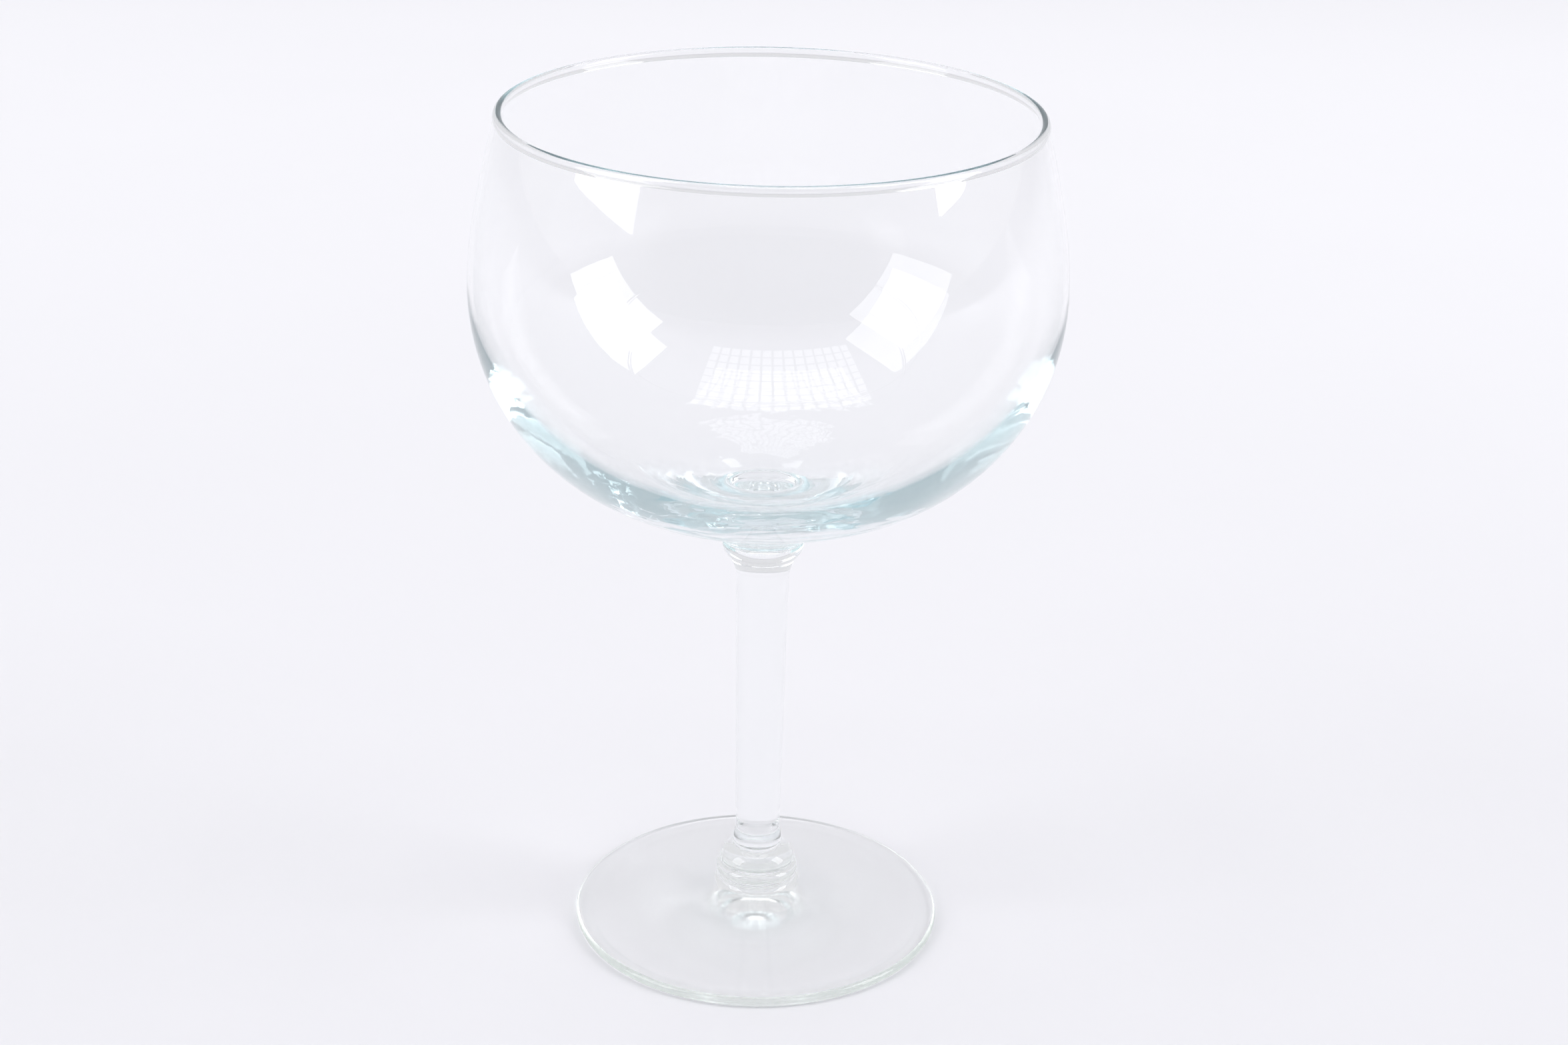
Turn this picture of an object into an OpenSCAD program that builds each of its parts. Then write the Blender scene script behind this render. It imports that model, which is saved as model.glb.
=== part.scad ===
// Stemmed wine glass with a large round bowl.
// Five glass pieces are fused end to end on one vertical axis: a foot, two knop rings,
// a drawn stem and the bowl. Every seam is a flat disc, so the pieces meet face to face.
// The origin is the centre of the circle that the foot stands on, and +Z is up.

/* [Overall] */
// Height of the whole glass, from the table to the top of the rim
total_h = 171.3; // [168:0.1:176]

/* [Bowl] */
// Largest outside diameter of the bowl
bowl_d = 113.9; // [110:0.1:118]
// Height of the bowl's widest place above the table
belly_z = 137.4; // [136:0.1:139]
// Radius of the round lower half, seen from the side
belly_r = 44.4; // [44:0.1:45.2]
// Angle below the widest place at which the underside turns towards the boss, in degrees
under_a = 66; // [64.5:0.5:70]
// Radius of the gentler curve above the widest place
shoulder_r = 73; // [60:1:90]
// Inward lean of the wall where that curve ends, in degrees
wall_lean = 10; // [8:0.5:11]
// Inward lean of the wall at the rim, in degrees
rim_lean = 15.5; // [13:0.5:17]
// Wall thickness from the widest place up to the rim
wall_t = 1.05; // [0.9:0.05:1.5]
// Thickness of the rounded rim bead, across the wall
bead_w = 1.74; // [1.6:0.02:2.2]
// Height of the rounded rim bead, along the wall
bead_h = 2.14; // [1.8:0.02:2.6]
// Thickness of the glass between the bowl's floor and the stem's seam
bottom_t = 9.3; // [8:0.1:11]
// Radius of the level middle of the bowl's floor
floor_r = 3.5; // [2:0.5:7]

/* [Stem] */
// Diameter of the boss and the flare where the bowl sits on the stem
flare_d = 16.2; // [15.2:0.1:17]
// Height of the seam between the stem and the bowl
stem_top_z = 84.8; // [83:0.1:86]
// Height at which the stem starts to flare out
flare_z = 76.4; // [74:0.1:78]
// Slope of the flare half way out, in degrees
flare_slope = 50; // [40:1:60]
// Stem diameter just under the flare
stem_top_d = 10.5; // [9.6:0.1:11]
// Stem diameter just above the collar
stem_low_d = 9.04; // [8.6:0.02:9.4]
// Height at which the collar at the stem's lower end starts
collar_top_z = 19.8; // [19:0.1:20.6]
// Largest diameter of the collar
collar_d = 10.1; // [9.8:0.1:10.4]
// Height of the seam between the stem and the upper knop ring
stem_bottom_z = 16.3; // [16:0.1:16.6]

/* [Knop rings] */
// Diameter of the upper ring
upper_ring_d = 15.2; // [14.9:0.1:15.6]
// Height at which the upper ring is widest
upper_ring_z = 13.1; // [13:0.1:13.6]
// Slope of the upper ring's domed top where it is widest, in degrees
dome_slope = 82; // [70:1:88]
// Diameter of the lower ring
lower_ring_d = 16.72; // [16.2:0.02:17.2]
// Height of the seam between the two rings
ring_seam_z = 12.6; // [12.4:0.1:12.8]
// Height of the seam between the lower ring and the foot
foot_top_z = 9.9; // [9.7:0.1:10.1]

/* [Foot] */
// Diameter of the foot
foot_d = 75; // [68:0.5:82]
// Thickness of the foot's rounded edge
foot_edge_t = 2.1; // [1.8:0.1:2.8]
// Diameter of the neck on which the lower ring sits
neck_d = 15.8; // [15.4:0.1:16]
// Radius of the hollow curve around the neck
neck_fillet = 1.6; // [1.2:0.1:2]
// Slope of the foot's top beside the neck, in degrees
slope_neck = 20; // [16:1:24]
// Slope of the foot's top at its edge, in degrees
slope_edge = 8; // [4:1:10]
// Inside diameter of the flat ring that rests on the table
rest_d = 67; // [60:0.5:70]
// Height of the hollow in the middle of the underside
kick_h = 1.8; // [0.8:0.1:2.4]

/* [Hidden] */
// Turn between neighbouring points on a curve, in degrees
arc_step = 3;
// Rounding of an edge beside a seam
seam_round = 0.35;
// Inward step that a seam makes in the outline
seam_step = 0.3;
glass = [0.78, 0.90, 0.88, 0.45];
$fn = 120;

// Bowl, worked out from the driving dimensions
bowl_r = bowl_d / 2;
flare_r = flare_d / 2;
belly_c = [bowl_r - belly_r, belly_z];
shoulder_c = [bowl_r - shoulder_r, belly_z];
wall_start = shoulder_c + shoulder_r * [cos(wall_lean), sin(wall_lean)];
rim_out = [cos(rim_lean), sin(rim_lean)];
rim_up = [-sin(rim_lean), cos(rim_lean)];
bead_z = total_h - norm([bead_w / 2 * sin(rim_lean), bead_h / 2 * cos(rim_lean)]);
wall_rise = bead_z - wall_start[1] + wall_t / 2 * sin(rim_lean);
wall_r = wall_rise / (sin(rim_lean) - sin(wall_lean));
wall_c = wall_start - wall_r * [cos(wall_lean), sin(wall_lean)];
bead_c = wall_c + (wall_r - wall_t / 2) * rim_out;
// Place around the bead at which it leaves the wall
bead_a = acos(wall_t / bead_w);
// Angle at which the wall's last point lies, just short of the bead
wall_end = rim_lean - (bead_h / 2 * sin(bead_a) + seam_step) / wall_r * 180 / PI;
floor_z = stem_top_z + bottom_t;

// Stem
collar_r = collar_d / 2;
stem_low_r = stem_low_d / 2;
stem_top_r = stem_top_d / 2;

// Knop rings
upper_r = upper_ring_d / 2;
lower_r = lower_ring_d / 2;
lower_h = ring_seam_z - foot_top_z;
lower_c = [lower_r - lower_h / 2, foot_top_z + lower_h / 2];

// Foot
foot_r = foot_d / 2;
edge_r = foot_edge_t / 2;
rest_r = rest_d / 2;
neck_r = neck_d / 2;
neck_c = [neck_r + neck_fillet, foot_top_z];
edge_c = [foot_r - edge_r, edge_r];
kick_r = (rest_r * rest_r + kick_h * kick_h) / (2 * kick_h);
kick_a = asin(rest_r / kick_r);

// Points of a circular or elliptical arc about c, with radii rx and ry, from angle a to b
function oval(c, rx, ry, a, b, step = arc_step) =
    let (n = max(2, ceil(abs(b - a) / step)))
    [for (i = [0:n]) let (t = a + (b - a) * i / n) c + [rx * cos(t), ry * sin(t)]];

// Points of a circular arc
function arc(c, r, a, b, step = arc_step) = oval(c, r, r, a, b, step);

// Points of a curve from p0 to p2 that leaves and arrives along the lines to p1
function bend(p0, p1, p2, n = 12) =
    [for (i = [0:n]) let (t = i / n) (1 - t) * (1 - t) * p0 + 2 * t * (1 - t) * p1 + t * t * p2];

// Crossing of the line through p at angle a and the line through q at angle b
function crossing(p, a, q, b) =
    let (u = [cos(a), sin(a)], v = [cos(b), sin(b)], d = q - p)
    p + (d[0] * v[1] - d[1] * v[0]) / (u[0] * v[1] - u[1] * v[0]) * u;

// A solid of revolution from its outline, points of [radius, height]
module turned(outline) {
    color(glass) rotate_extrude() polygon(outline);
}

// Disc that rises to the neck, with a rounded edge and a shallow hollow underneath
module foot() {
    neck_low = neck_c + neck_fillet * [-sin(slope_neck), -cos(slope_neck)];
    edge_high = edge_c + edge_r * [sin(slope_edge), cos(slope_edge)];
    turned(concat(
        arc([0, kick_h - kick_r], kick_r, 90, 90 - kick_a, kick_a / 16),
        arc(edge_c, edge_r, -90, 90 - slope_edge, 10),
        bend(edge_high, crossing(edge_high, -slope_edge, neck_low, -slope_neck), neck_low, 24),
        arc(neck_c, neck_fillet, 270 - slope_neck, 180, 10),
        [[0, foot_top_z]]
    ));
}

// Half-round ring between the foot and the upper ring
module lower_knop_ring() {
    round_a = 64;
    round_x = lower_c[0] + lower_h / 2 * cos(round_a);
    turned(concat(
        [[0, foot_top_z], [round_x, foot_top_z]],
        arc(lower_c, lower_h / 2, -round_a, round_a, 6),
        [[round_x, ring_seam_z], [0, ring_seam_z]]
    ));
}

// Ring with a domed top, which carries the stem
module upper_knop_ring() {
    widest = [upper_r, upper_ring_z];
    top = [collar_r - seam_step + 0.1, stem_bottom_z];
    turned(concat(
        [[0, ring_seam_z], [upper_r - seam_step, ring_seam_z]],
        bend(widest, crossing(widest, 180 - dome_slope, top, -20), top, 12),
        [[0, stem_bottom_z]]
    ));
}

// Drawn rod: a collar at the bottom, a slight taper and a flare at the top
module stem() {
    low = [stem_low_r, collar_top_z];
    top = [stem_top_r, flare_z];
    flare_middle = [flare_r - 1, flare_z + 5.5];
    flare_end = [flare_r, stem_top_z - seam_round];
    turned(concat(
        [[0, stem_bottom_z]],
        bend([collar_r - seam_step, stem_bottom_z], [collar_r, stem_bottom_z],
            [collar_r, stem_bottom_z + 2 * seam_round], 5),
        bend([collar_r, stem_bottom_z + 2 * seam_round + 0.1],
            [collar_r - 0.2, collar_top_z - 0.9], low, 8),
        bend(top, crossing(top, 87, flare_middle, flare_slope), flare_middle, 12),
        bend(flare_middle + [0.05, 0.05 * tan(flare_slope)],
            crossing(flare_middle, flare_slope, flare_end, 90), flare_end, 8),
        [[flare_r - seam_step, stem_top_z], [0, stem_top_z]]
    ));
}

// Bowl with its boss underneath, thick round bottom, thin wall and rounded rim
module bowl() {
    boss_top = [flare_r, stem_top_z + seam_round];
    under = belly_c + belly_r * [cos(under_a), -sin(under_a)];
    turned(concat(
        [[0, stem_top_z], [flare_r - seam_step, stem_top_z]],
        bend(boss_top, crossing(boss_top, 90, under, 90 - under_a), under, 24),
        arc(belly_c, belly_r, arc_step / 2 - under_a, 0),
        arc(shoulder_c, shoulder_r, 1, wall_lean, 2),
        arc(wall_c, wall_r, wall_lean + 1, wall_end, 1),
        [for (p = oval([0, 0], bead_w / 2, bead_h / 2, -bead_a, 180 + bead_a, 12))
            bead_c + p[0] * rim_out + p[1] * rim_up],
        arc(wall_c, wall_r - wall_t, wall_end, wall_lean + 1, 1),
        arc(shoulder_c, shoulder_r - wall_t, wall_lean, 0, 2),
        oval([floor_r, belly_z], bowl_r - wall_t - floor_r, belly_z - floor_z, -arc_step, -90),
        [[0, floor_z]]
    ));
}

foot();
lower_knop_ring();
upper_knop_ring();
stem();
bowl();
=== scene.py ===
import math

import bpy
import bmesh
from mathutils import Matrix, Vector


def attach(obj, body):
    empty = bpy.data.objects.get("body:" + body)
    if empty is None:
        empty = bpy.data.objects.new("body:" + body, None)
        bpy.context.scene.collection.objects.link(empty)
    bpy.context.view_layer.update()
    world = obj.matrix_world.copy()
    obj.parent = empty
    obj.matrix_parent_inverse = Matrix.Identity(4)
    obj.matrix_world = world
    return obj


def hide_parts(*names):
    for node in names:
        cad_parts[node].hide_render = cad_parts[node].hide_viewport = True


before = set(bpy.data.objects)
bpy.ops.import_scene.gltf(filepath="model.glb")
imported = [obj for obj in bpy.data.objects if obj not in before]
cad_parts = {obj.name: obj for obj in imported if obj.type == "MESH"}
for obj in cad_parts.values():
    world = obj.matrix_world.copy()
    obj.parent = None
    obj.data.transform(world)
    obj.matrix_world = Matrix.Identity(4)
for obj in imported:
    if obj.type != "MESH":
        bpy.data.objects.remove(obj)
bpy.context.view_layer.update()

# ---------------------------------------------------------------- measures, metres and degrees
MM = 0.001
AROUND = 288                # steps round the axis of every lathed piece
SEAM_GAP = 0.012 * MM       # the fused seams overlap by twice this, so that no air is left in them
CREASE = 24.0               # a sharper turn than this in a profile stays a crease
MERGE = 2.5e-6              # CAD points closer than this are one profile point
FINE_TURN = 1.6             # the largest turn between neighbouring points of a smooth span
SAME = 2e-6                 # two measures closer than this are the same
ON_AXIS = 1e-6              # a radius under this lies on the axis

# ---------------------------------------------------------------- camera
CAM_PLACE = (0.0, -0.49328, 0.29838)
CAM_PITCH = 23.066          # degrees below the horizon
CAM_YAW = 0.466
CAM_ROLL = 1.349
CAM_LENS = 62.45            # on a 36 mm sensor


def make_camera():
    """The camera stands where the photograph was taken from."""
    data = bpy.data.cameras.new("camera")
    data.sensor_width = 36.0
    data.sensor_fit = "HORIZONTAL"
    data.lens = CAM_LENS
    data.clip_start = 0.01
    data.clip_end = 50.0
    cam = bpy.data.objects.new("camera", data)
    bpy.context.scene.collection.objects.link(cam)
    pitch = math.radians(CAM_PITCH)
    yaw = math.radians(CAM_YAW)
    roll = math.radians(CAM_ROLL)
    ahead = Vector((
        math.sin(yaw) * math.cos(pitch),
        math.cos(yaw) * math.cos(pitch),
        -math.sin(pitch),
    ))
    level = Vector((math.cos(yaw), -math.sin(yaw), 0.0))
    upright = level.cross(ahead)
    right = math.cos(roll) * level + math.sin(roll) * upright
    up = -math.sin(roll) * level + math.cos(roll) * upright
    turn = Matrix((right, up, -ahead)).transposed().to_4x4()
    cam.matrix_world = Matrix.Translation(CAM_PLACE) @ turn
    bpy.context.scene.camera = cam
    return cam


# ---------------------------------------------------------------- node helpers
def new_material(name):
    """An empty node material and its output."""
    mat = bpy.data.materials.new(name)
    mat.use_nodes = True
    tree = mat.node_tree
    tree.nodes.clear()
    out = tree.nodes.new("ShaderNodeOutputMaterial")
    return mat, tree, out


def add(tree, kind, **settings):
    """A node with its settings; a key that isn't an attribute is an input."""
    node = tree.nodes.new(kind)
    for key, value in settings.items():
        name = key.replace("_", " ")
        if name in node.inputs:
            node.inputs[name].default_value = value
        else:
            setattr(node, key, value)
    return node


# ---------------------------------------------------------------- the CAD profile of a node
def profile_of(name):
    """The node's half section as ordered (radius, height) points, from its lower end."""
    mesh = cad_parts[name].data
    grid = {}
    spots = []
    spot_of = []
    for vert in mesh.vertices:
        r = math.hypot(vert.co.x, vert.co.y)
        z = vert.co.z
        cell = (round(r / MERGE), round(z / MERGE))
        found = None
        for i in (-1, 0, 1):
            for j in (-1, 0, 1):
                found = grid.get((cell[0] + i, cell[1] + j), found)
        if found is None:
            found = len(spots)
            spots.append((r, z))
            grid[cell] = found
        spot_of.append(found)
    beside = {i: set() for i in range(len(spots))}
    for edge in mesh.edges:
        a, b = (spot_of[v] for v in edge.vertices)
        if a != b:
            beside[a].add(b)
            beside[b].add(a)
    ends = [i for i in beside if len(beside[i]) == 1]
    at = min(ends, key=lambda i: (spots[i][1], spots[i][0]))
    line = [at]
    before = None
    while True:
        onward = [i for i in beside[at] if i != before]
        if not onward:
            break
        before, at = at, onward[0]
        line.append(at)
    return [Vector(spots[i]) for i in line]


def spans(line):
    """The profile cut at its creases, so that each span is smooth."""
    cut = [0]
    for i in range(1, len(line) - 1):
        turn = (line[i] - line[i - 1]).angle(line[i + 1] - line[i], 0.0)
        if math.degrees(turn) > CREASE:
            cut.append(i)
    cut.append(len(line) - 1)
    return [line[a:b + 1] for a, b in zip(cut, cut[1:])]


def hermite(p0, p1, m0, m1, t):
    """A cubic from p0 to p1 that leaves along m0 and arrives along m1."""
    a = 2 * t ** 3 - 3 * t ** 2 + 1
    b = t ** 3 - 2 * t ** 2 + t
    c = -2 * t ** 3 + 3 * t ** 2
    d = t ** 3 - t ** 2
    return a * p0 + b * m0 + c * p1 + d * m1


def tangents(line):
    """A unit direction at each point of a smooth span."""
    made = []
    for i, p in enumerate(line):
        if 0 < i < len(line) - 1:
            back = p - line[i - 1]
            ahead = line[i + 1] - p
            lean = back.normalized() / max(back.length, 1e-9)
            lean += ahead.normalized() / max(ahead.length, 1e-9)
            made.append(lean.normalized())
        else:
            made.append(None)
    made[0] = (line[1] - line[0]).normalized()
    made[-1] = (line[-1] - line[-2]).normalized()
    if len(line) > 2:
        first = (line[1] - line[0]).normalized()
        last = (line[-1] - line[-2]).normalized()
        made[0] = (2 * first.dot(made[1]) * first - made[1]).normalized()
        made[-1] = (2 * last.dot(made[-2]) * last - made[-2]).normalized()
    return made


def finer(line, step):
    """A smooth span with points added, so that it turns and runs in smaller steps."""
    lean = tangents(line)
    made = [line[0]]
    for i in range(len(line) - 1):
        a, b = line[i], line[i + 1]
        run = (b - a).length
        turn = math.degrees(lean[i].angle(lean[i + 1], 0.0))
        parts = max(1, math.ceil(run / step), math.ceil(turn / FINE_TURN))
        for k in range(1, parts + 1):
            spot = hermite(a, b, lean[i] * run, lean[i + 1] * run, k / parts)
            made.append(spot)
    return made


# ---------------------------------------------------------------- lathed glass
def lathe(name, line, creases, mat):
    """A closed solid of revolution. A point on the axis closes its end with a fan of faces."""
    bm = bmesh.new()
    rings = []
    for r, z in line:
        if r < ON_AXIS:
            rings.append([bm.verts.new((0.0, 0.0, z))])
            continue
        ring = []
        for k in range(AROUND):
            turn = math.tau * k / AROUND
            ring.append(bm.verts.new((r * math.cos(turn), r * math.sin(turn), z)))
        rings.append(ring)
    for lower, upper in zip(rings, rings[1:]):
        for k in range(AROUND):
            n = (k + 1) % AROUND
            if len(lower) == 1:
                face = (lower[0], upper[n], upper[k])
            elif len(upper) == 1:
                face = (lower[k], lower[n], upper[0])
            else:
                face = (lower[k], lower[n], upper[n], upper[k])
            made = bm.faces.new(face)
            made.smooth = True
    bm.normal_update()
    bmesh.ops.recalc_face_normals(bm, faces=bm.faces[:])
    for edge in bm.edges:
        a, b = edge.verts
        ra = math.hypot(a.co.x, a.co.y)
        rb = math.hypot(b.co.x, b.co.y)
        if abs(ra - rb) < SAME / 2 and abs(a.co.z - b.co.z) < SAME / 2:
            near = any(abs(ra - r) < SAME and abs(a.co.z - z) < SAME for r, z in creases)
            edge.smooth = not near
    mesh = bpy.data.meshes.new(name)
    bm.to_mesh(mesh)
    bm.free()
    mesh.materials.append(mat)
    ob = bpy.data.objects.new(name, mesh)
    bpy.context.scene.collection.objects.link(ob)
    return ob


def mark_seams(ob, heights):
    """Face attribute that is 1 on the flat fused faces at these heights, and 0 elsewhere."""
    mesh = ob.data
    marks = mesh.attributes.new("fused", "FLOAT", "FACE")
    values = []
    for face in mesh.polygons:
        flat = any(abs(face.center.z - z) < SAME for z in heights)
        values.append(1.0 if flat and abs(face.normal.z) > 0.999 else 0.0)
    marks.data.foreach_set("value", values)


def kept_inside(line, fine):
    """The finer points, held to the box of the CAD profile."""
    widest = max(p.x for p in line)
    lowest = min(p.y for p in line)
    highest = max(p.y for p in line)
    return [Vector((min(p.x, widest), min(max(p.y, lowest), highest))) for p in fine]


def glass_piece(name, node, mat, step, seam_low, seam_high):
    """The node lathed again at full smoothness, with its fused ends reaching into its neighbours."""
    line = profile_of(node)
    creases = []
    fine = []
    for span in spans(line):
        piece = kept_inside(line, finer(span, step))
        creases.append(tuple(piece[0]))
        creases.append(tuple(piece[-1]))
        fine += piece if not fine else piece[1:]
    heights = []
    for at, wanted, way in ((0, seam_low, -1.0), (-1, seam_high, 1.0)):
        if not wanted:
            continue
        r, z = fine[at]
        moved = Vector((r, z + way * SEAM_GAP))
        fine[at] = moved
        creases.append(tuple(moved))
        heights.append(moved.y)
    if fine[0].x > ON_AXIS:
        fine.insert(0, Vector((0.0, fine[0].y)))
    if fine[-1].x > ON_AXIS:
        fine.append(Vector((0.0, fine[-1].y)))
    ob = lathe(name, [tuple(p) for p in fine], creases, mat)
    mark_seams(ob, heights)
    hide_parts(node)
    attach(ob, "root")
    return ob


# ---------------------------------------------------------------- glass
GLASS_IOR = 1.52
DEPTH_DENSITY = 60.0        # the density at which the absorption colour is stated
BOWL_TAKEN = (4.0, 2.4, 2.1)    # red, green and blue absorbed per metre
STEM_TAKEN = (1.2, 0.5, 0.5)
FOOT_TAKEN = (0.9, 0.3, 0.8)
WAVE_HEIGHT = 0.2 * MM
RIPPLE = 0.3 * MM           # height of the ripples in the thick bottom
RIPPLE_ZONE = (94.5 * MM, 102.5 * MM)


def waviness(tree, place, scale, strength):
    """The soft waviness of worked glass, as a bumped normal."""
    wave = add(tree, "ShaderNodeTexNoise", Scale=scale, Detail=1.0, Roughness=0.3)
    tree.links.new(place.outputs["Object"], wave.inputs["Vector"])
    bump = add(tree, "ShaderNodeBump", Strength=strength, Distance=WAVE_HEIGHT)
    tree.links.new(wave.outputs["Fac"], bump.inputs["Height"])
    return bump


def press_marks(tree, place, low, high):
    """Level ripples in the thick glass below the height high, full below the height low."""
    stretch = add(tree, "ShaderNodeMapping")
    stretch.inputs["Scale"].default_value = (45.0, 45.0, 260.0)
    ripple = add(tree, "ShaderNodeTexNoise", Scale=1.0, Detail=2.0, Roughness=0.5)
    ripple.inputs["Distortion"].default_value = 0.6
    split = add(tree, "ShaderNodeSeparateXYZ")
    where = add(tree, "ShaderNodeMapRange", interpolation_type="SMOOTHSTEP")
    where.inputs["From Min"].default_value = high
    where.inputs["From Max"].default_value = low
    height = add(tree, "ShaderNodeMath", operation="MULTIPLY")
    tree.links.new(place.outputs["Object"], stretch.inputs["Vector"])
    tree.links.new(stretch.outputs["Vector"], ripple.inputs["Vector"])
    tree.links.new(place.outputs["Object"], split.inputs[0])
    tree.links.new(split.outputs["Z"], where.inputs["Value"])
    tree.links.new(ripple.outputs["Fac"], height.inputs[0])
    tree.links.new(where.outputs["Result"], height.inputs[1])
    bump = add(tree, "ShaderNodeBump", Strength=1.0, Distance=RIPPLE)
    tree.links.new(height.outputs[0], bump.inputs["Height"])
    return bump


def glass_material(name, scale, strength, taken, marks=None, roughness=0.0):
    """Clear soda-lime glass with the tint of its depth; taken is what a metre absorbs."""
    mat, tree, out = new_material(name)
    shader = add(tree, "ShaderNodeBsdfPrincipled")
    shader.inputs["Base Color"].default_value = (1.0, 1.0, 1.0, 1.0)
    shader.inputs["Transmission Weight"].default_value = 1.0
    shader.inputs["Roughness"].default_value = roughness
    mark = add(tree, "ShaderNodeAttribute", attribute_name="fused")
    ior = add(tree, "ShaderNodeMath", operation="MULTIPLY_ADD")
    tree.links.new(mark.outputs["Fac"], ior.inputs[0])
    ior.inputs[1].default_value = 1.0 - GLASS_IOR
    ior.inputs[2].default_value = GLASS_IOR
    tree.links.new(ior.outputs[0], shader.inputs["IOR"])
    place = add(tree, "ShaderNodeTexCoord")
    bump = waviness(tree, place, scale, strength)
    if marks:
        ripples = press_marks(tree, place, *marks)
        tree.links.new(bump.outputs["Normal"], ripples.inputs["Normal"])
        bump = ripples
    tree.links.new(bump.outputs["Normal"], shader.inputs["Normal"])
    depth = add(tree, "ShaderNodeVolumeAbsorption", Density=DEPTH_DENSITY)
    depth.inputs["Color"].default_value = tuple(1.0 - t / DEPTH_DENSITY for t in taken) + (1.0,)
    tree.links.new(shader.outputs[0], out.inputs["Surface"])
    tree.links.new(depth.outputs[0], out.inputs["Volume"])
    return mat


# ---------------------------------------------------------------- studio
WORLD_POWER = 0.82
BOX_AIM = Vector((0.0, 0.0, 0.135))
BOX_REACH = 1.6             # the side boxes' distance from the middle of the bowl
BOX_HIGH = 27.7             # elevation
BOX_TALL = 1.22
LEFT_SIDE = 68.0            # azimuth away from the camera's side
LEFT_WIDE = 0.89
LEFT_POWER = 2.8
RIGHT_SIDE = 80.0
RIGHT_WIDE = 0.68
RIGHT_POWER = 3.9
TOP_REACH = 2.2             # the top box's height, of which its place and size are fractions
TOP_X = -0.09
TOP_Y = 0.07
TOP_WIDE = 0.84
TOP_DEEP = 0.70
TOP_POWER = 1.8
FLOOR_RADIUS = 6.0
FLOOR_DROP = 0.02 * MM      # the paper lies this far under the foot
# painted shade near the camera and painted light towards the back: the paper's colour runs between
# these two as a painted light falloff
PAINTED_SHADE_NEAR_PAPER = (0.735, 0.73, 0.757, 1.0)
PAINTED_LIGHT_FAR_PAPER = (0.95, 0.943, 0.97, 1.0)


def floor_material():
    """Pale seamless paper with a faint mottle and a painted light falloff: darker near the camera,
    lighter towards the back.
    """
    mat, tree, out = new_material("studio_paper")
    shader = add(tree, "ShaderNodeBsdfPrincipled", Roughness=0.9)
    place = add(tree, "ShaderNodeTexCoord")
    split = add(tree, "ShaderNodeSeparateXYZ")
    mottle = add(tree, "ShaderNodeTexNoise", Scale=6.0, Detail=4.0)
    # painted light falloff: the paper's colour brightens with depth away from the camera
    level = add(tree, "ShaderNodeMapRange", interpolation_type="SMOOTHSTEP")
    level.inputs["From Min"].default_value = -0.25
    level.inputs["From Max"].default_value = 1.0
    mottle_and_painted_falloff = add(tree, "ShaderNodeMath", operation="MULTIPLY_ADD")
    mottle_and_painted_falloff.inputs[1].default_value = 0.12
    tint = add(tree, "ShaderNodeMix", data_type="RGBA")
    tint.inputs["A"].default_value = PAINTED_SHADE_NEAR_PAPER
    tint.inputs["B"].default_value = PAINTED_LIGHT_FAR_PAPER
    tree.links.new(place.outputs["Object"], mottle.inputs["Vector"])
    tree.links.new(place.outputs["Object"], split.inputs[0])
    tree.links.new(split.outputs["Y"], level.inputs["Value"])
    tree.links.new(mottle.outputs["Fac"], mottle_and_painted_falloff.inputs[0])
    tree.links.new(level.outputs["Result"], mottle_and_painted_falloff.inputs[2])
    tree.links.new(mottle_and_painted_falloff.outputs[0], tint.inputs["Factor"])
    tree.links.new(tint.outputs["Result"], shader.inputs["Base Color"])
    tree.links.new(shader.outputs[0], out.inputs["Surface"])
    return mat


def make_floor():
    """One round sheet of paper, far wider than the view."""
    bm = bmesh.new()
    bmesh.ops.create_circle(bm, cap_ends=True, segments=96, radius=FLOOR_RADIUS)
    mesh = bpy.data.meshes.new("studio_floor")
    bm.to_mesh(mesh)
    bm.free()
    mesh.materials.append(floor_material())
    ob = bpy.data.objects.new("studio_floor", mesh)
    ob.location.z = -FLOOR_DROP
    bpy.context.scene.collection.objects.link(ob)
    return ob


def make_world():
    """A pale room: light behind and above, darker on the camera's side."""
    world = bpy.data.worlds.new("studio")
    bpy.context.scene.world = world
    world.use_nodes = True
    tree = world.node_tree
    tree.nodes.clear()
    out = tree.nodes.new("ShaderNodeOutputWorld")
    ground = add(tree, "ShaderNodeBackground", Strength=WORLD_POWER)
    place = add(tree, "ShaderNodeTexCoord")
    split = add(tree, "ShaderNodeSeparateXYZ")
    ramp = add(tree, "ShaderNodeValToRGB")
    tree.links.new(place.outputs["Generated"], split.inputs[0])
    shift = add(tree, "ShaderNodeMath", operation="MULTIPLY_ADD")
    shift.inputs[1].default_value = 0.5
    shift.inputs[2].default_value = 0.5
    tree.links.new(split.outputs["Y"], shift.inputs[0])
    tree.links.new(shift.outputs[0], ramp.inputs["Fac"])
    ramp.color_ramp.elements[0].position = 0.10
    ramp.color_ramp.elements[0].color = (0.42, 0.43, 0.45, 1.0)
    ramp.color_ramp.elements[1].position = 0.50
    ramp.color_ramp.elements[1].color = (0.93, 0.93, 0.96, 1.0)
    tree.links.new(ramp.outputs["Color"], ground.inputs["Color"])
    tree.links.new(ground.outputs[0], out.inputs["Surface"])


def softbox(name, azimuth, elevation, wide, tall, radiance):
    """A rectangular area light that faces the bowl. Azimuth 0 is the camera's side."""
    data = bpy.data.lights.new(name, "AREA")
    data.shape = "RECTANGLE"
    data.size = wide
    data.size_y = tall
    data.energy = radiance * math.pi * wide * tall
    ob = bpy.data.objects.new(name, data)
    bpy.context.scene.collection.objects.link(ob)
    az = math.radians(azimuth)
    el = math.radians(elevation)
    way = Vector((math.sin(az) * math.cos(el), -math.cos(az) * math.cos(el), math.sin(el)))
    ob.location = BOX_AIM + way * BOX_REACH
    ob.rotation_euler = way.to_track_quat("Z", "Y").to_euler()
    ob.visible_camera = False
    return ob


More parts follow.
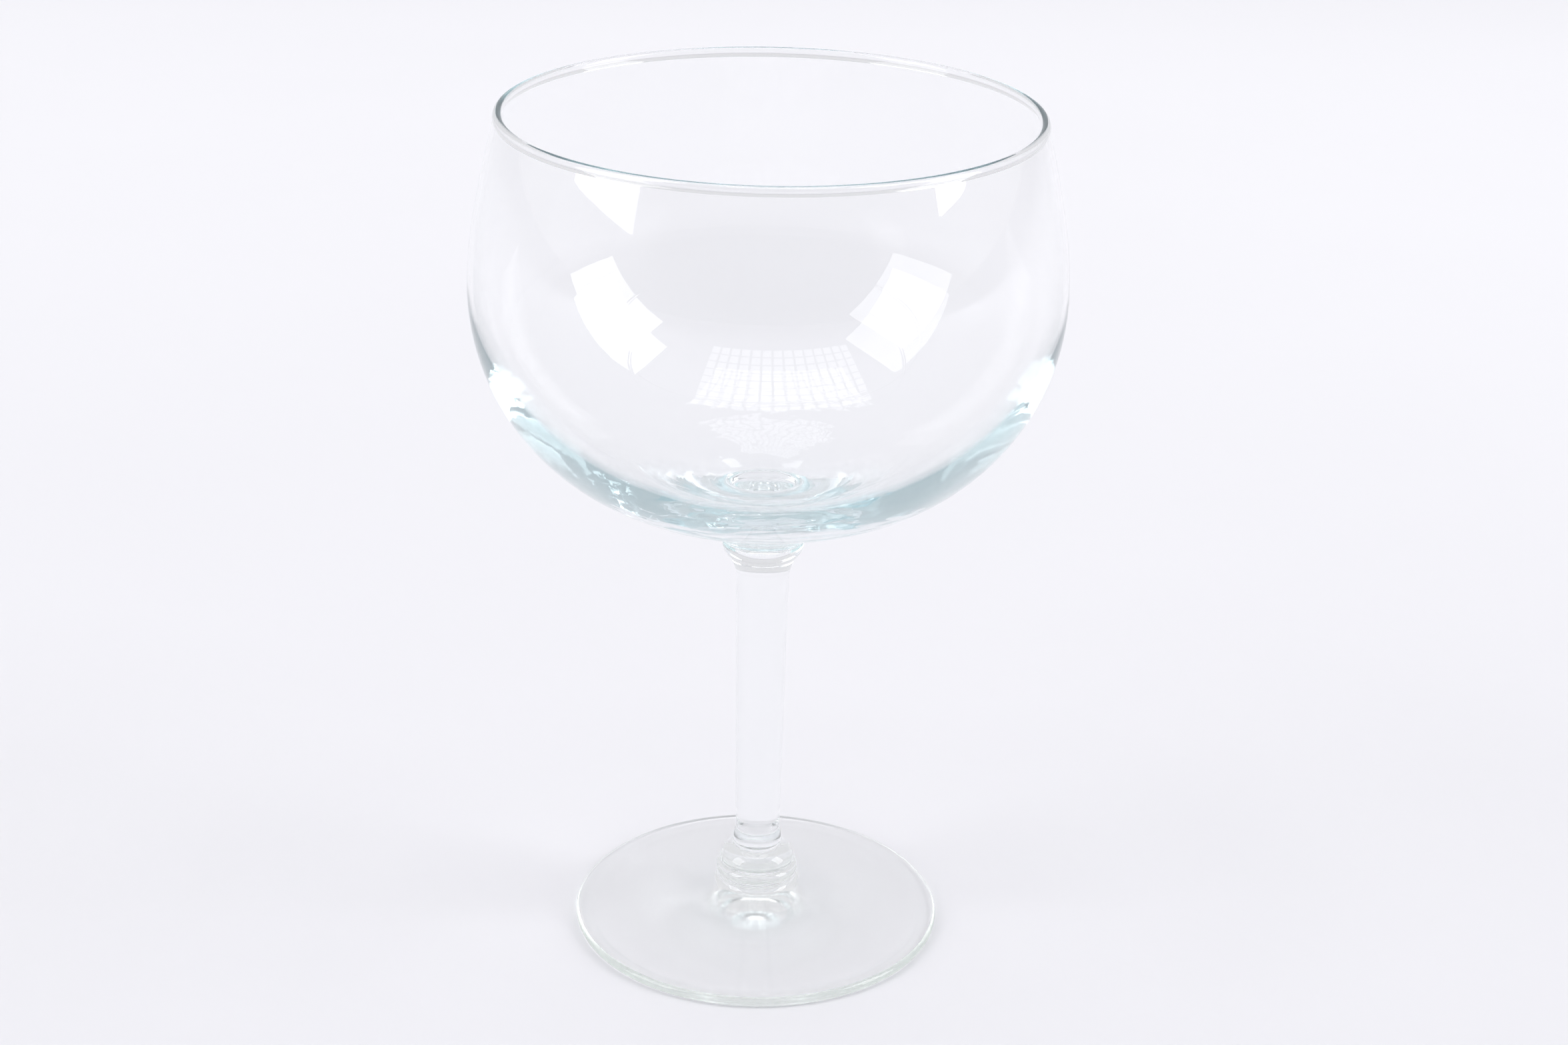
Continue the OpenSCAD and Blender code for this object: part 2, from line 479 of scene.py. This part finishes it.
def egg_crate(light, columns, rows):
    """The cells of a softbox's grid, as a brightness pattern over the light."""
    light.use_nodes = True
    tree = light.node_tree
    tree.nodes.clear()
    out = tree.nodes.new("ShaderNodeOutputLight")
    lamp = add(tree, "ShaderNodeEmission", Strength=1.0)
    place = add(tree, "ShaderNodeNewGeometry")
    cells = add(tree, "ShaderNodeTexBrick", offset=0.0, squash=1.0, Scale=1.0)
    cells.inputs["Color1"].default_value = (1.0, 1.0, 1.0, 1.0)
    cells.inputs["Color2"].default_value = (0.9, 0.9, 0.9, 1.0)
    cells.inputs["Mortar"].default_value = (0.05, 0.05, 0.05, 1.0)
    cells.inputs["Mortar Size"].default_value = 0.009
    cells.inputs["Mortar Smooth"].default_value = 0.3
    cells.inputs["Brick Width"].default_value = 1.0 / columns
    cells.inputs["Row Height"].default_value = 1.0 / rows
    tree.links.new(place.outputs["Parametric"], cells.inputs["Vector"])
    tree.links.new(cells.outputs["Color"], lamp.inputs["Color"])
    tree.links.new(lamp.outputs[0], out.inputs["Surface"])


def make_lights():
    """A softbox on each side and one with an egg-crate grid above and behind the glass."""
    softbox("softbox_left", -LEFT_SIDE, BOX_HIGH, LEFT_WIDE, BOX_TALL, LEFT_POWER)
    softbox("softbox_right", RIGHT_SIDE, BOX_HIGH, RIGHT_WIDE, BOX_TALL, RIGHT_POWER)
    top = softbox("softbox_top", 0.0, 90.0, TOP_WIDE * TOP_REACH, TOP_DEEP * TOP_REACH, TOP_POWER)
    top.location = BOX_AIM + TOP_REACH * Vector((TOP_X, TOP_Y, 1.0))
    top.rotation_euler = (0.0, 0.0, 0.0)
    egg_crate(top.data, 14, 9)


# ---------------------------------------------------------------- build
GLASS_BOUNCES = 160         # thick walls mirror light inside many times

make_camera()
make_world()
make_floor()
make_lights()

BOWL_GLASS = glass_material("clear_glass_bowl", 30.0, 0.06, BOWL_TAKEN, RIPPLE_ZONE)
STEM_GLASS = glass_material("clear_glass_stem", 40.0, 0.05, STEM_TAKEN)
KNOP_GLASS = glass_material("clear_glass_knop", 60.0, 0.05, STEM_TAKEN, None, 0.03)
FOOT_GLASS = glass_material("clear_glass_foot", 35.0, 0.08, FOOT_TAKEN, None, 0.08)

glass_piece("foot_disc", "foot", FOOT_GLASS, 1.2 * MM, False, True)
glass_piece("knop_ring_lower", "lower_knop_ring", KNOP_GLASS, 0.4 * MM, True, True)
glass_piece("knop_ring_upper", "upper_knop_ring", KNOP_GLASS, 0.4 * MM, True, True)
glass_piece("drawn_stem", "stem", STEM_GLASS, 1.5 * MM, True, True)
glass_piece("bowl_vessel", "bowl", BOWL_GLASS, 1.2 * MM, True, False)

scene = bpy.context.scene
scene.view_settings.view_transform = "Standard"
scene.view_settings.look = "None"
scene.cycles.max_bounces = GLASS_BOUNCES
scene.cycles.transmission_bounces = GLASS_BOUNCES
scene.cycles.glossy_bounces = GLASS_BOUNCES
scene.cycles.diffuse_bounces = 4
scene.cycles.transparent_max_bounces = 16
scene.cycles.blur_glossy = 0.1
